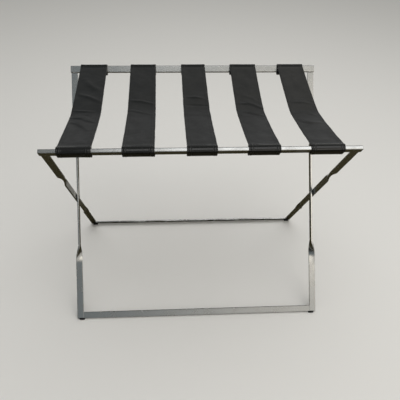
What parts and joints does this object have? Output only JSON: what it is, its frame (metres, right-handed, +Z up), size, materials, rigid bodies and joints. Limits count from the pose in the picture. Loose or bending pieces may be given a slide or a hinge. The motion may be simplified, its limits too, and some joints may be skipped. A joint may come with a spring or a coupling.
{
  "type": "luggage rack",
  "caption": "Folding luggage bench: two crossed frames of twisted flat bar on a shared pivot, with leather straps slung between the top rails to carry a suitcase",
  "frame": {"origin": "on the floor under the pivot axis, midway between the feet in both directions", "axes": "+X along the rails, to the right seen from the front; +Y from the front rail to the rear rail; +Z up"},
  "size_m": [0.65, 0.4148, 0.5361],
  "materials": {
    "frame_steel": "polished plated flat bar and tube",
    "cap_steel": "polished plated end cap",
    "rivet_steel": "plain steel rivet",
    "leather": "black grained leather with a soft sheen",
    "rubber": "matt black rubber",
    "nylon": "black nylon washer"
  },
  "bodies": {
    "outer_frame": {"front_rail": "frame_steel", "outer_leg_left": "frame_steel", "outer_leg_right": "frame_steel", "rear_foot_bar": "frame_steel", "front_rail_cap_left": "cap_steel", "front_rail_cap_right": "cap_steel", "rear_glide_left": "rubber", "rear_glide_right": "rubber", "pivot_rivet_left": "rivet_steel", "pivot_rivet_right": "rivet_steel", "pivot_spacer_left": "nylon", "pivot_spacer_right": "nylon", "strap_1": "leather", "strap_2": "leather", "strap_3": "leather", "strap_4": "leather", "strap_5": "leather"},
    "inner_frame": {"rear_rail": "frame_steel", "inner_leg_left": "frame_steel", "inner_leg_right": "frame_steel", "front_foot_bar": "frame_steel", "rear_rail_cap_left": "cap_steel", "rear_rail_cap_right": "cap_steel", "front_glide_left": "rubber", "front_glide_right": "rubber"}
  },
  "joints": [
    {"name": "fold", "type": "hinge", "parent": "outer_frame", "child": "inner_frame", "pos_m": [0, 0, 0.25959], "axis": [1, 0, 0], "range_deg": [-0.6, 70.6], "deforming": ["strap_1", "strap_2", "strap_3", "strap_4", "strap_5"]}
  ]
}
